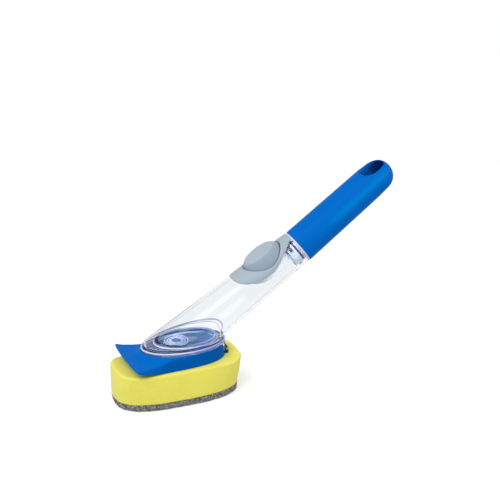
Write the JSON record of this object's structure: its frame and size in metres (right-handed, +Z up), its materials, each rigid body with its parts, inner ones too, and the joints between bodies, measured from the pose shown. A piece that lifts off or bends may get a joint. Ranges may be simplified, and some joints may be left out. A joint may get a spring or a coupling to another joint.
{
  "type": "dish wand",
  "caption": "Soap-dispensing dish wand: sponge head with scouring pad and scraper lip, clear slanted reservoir, press button and a grip with a hang hole.",
  "frame": {"origin": "middle of the scouring pad's underside, where the wand stands on a flat surface", "axes": "+Z up from the pad, +X along the head towards the raised grip, +Y across the head"},
  "size_m": [0.2087, 0.0486, 0.1506],
  "materials": {
    "scouring_pad": "coarse bonded fibre with grit",
    "sponge": "fine open-cell foam",
    "blue_plastic": "smooth moulded blue",
    "dark_blue_plastic": "smooth moulded dark blue",
    "clear_plastic": "clear, polished",
    "white_plastic": "smooth moulded, translucent white",
    "silicone": "soft, translucent",
    "dark_rubber": "smooth seal",
    "grey_soft": "satin soft-touch skin",
    "grey_plastic": "satin moulded"
  },
  "bodies": {
    "head_and_reservoir": {"scouring_pad": "scouring_pad", "sponge": "sponge", "head_plate": "blue_plastic", "foot_base": "clear_plastic", "valve_cup": "white_plastic", "slit_valve": "silicone", "valve_retainer": "white_plastic", "nozzle_o_ring": "dark_rubber", "reservoir_body": "clear_plastic", "button_panel": "grey_soft", "button_diaphragm": "silicone", "diaphragm_ring": "white_plastic", "neck_gasket": "silicone"},
    "button": {"button_cap": "grey_plastic"},
    "tab": {"release_tab": "dark_blue_plastic"},
    "grip": {"cap_plug": "white_plastic", "plug_o_ring": "dark_rubber", "grip_sleeve": "blue_plastic"}
  },
  "joints": [
    {"name": "button_press", "type": "slide", "parent": "head_and_reservoir", "child": "button", "axis": [0.5446, 0, -0.8387], "range_m": [0, 0.0025], "stiffness_N_per_m": 800, "springref_m": -0.0005, "deforming": ["button_diaphragm"]},
    {"name": "tab_release", "type": "hinge", "parent": "head_and_reservoir", "child": "tab", "pos_m": [0.0357, 0, 0.0273], "axis": [0, 1, 0], "range_deg": [0, 12], "stiffness_Nm_per_rad": 0.05},
    {"name": "grip_twist", "type": "hinge", "parent": "head_and_reservoir", "child": "grip", "pos_m": [0.0923, 0, 0.0958], "axis": [0.809, 0, 0.5878], "range_deg": [0, 60]}
  ]
}
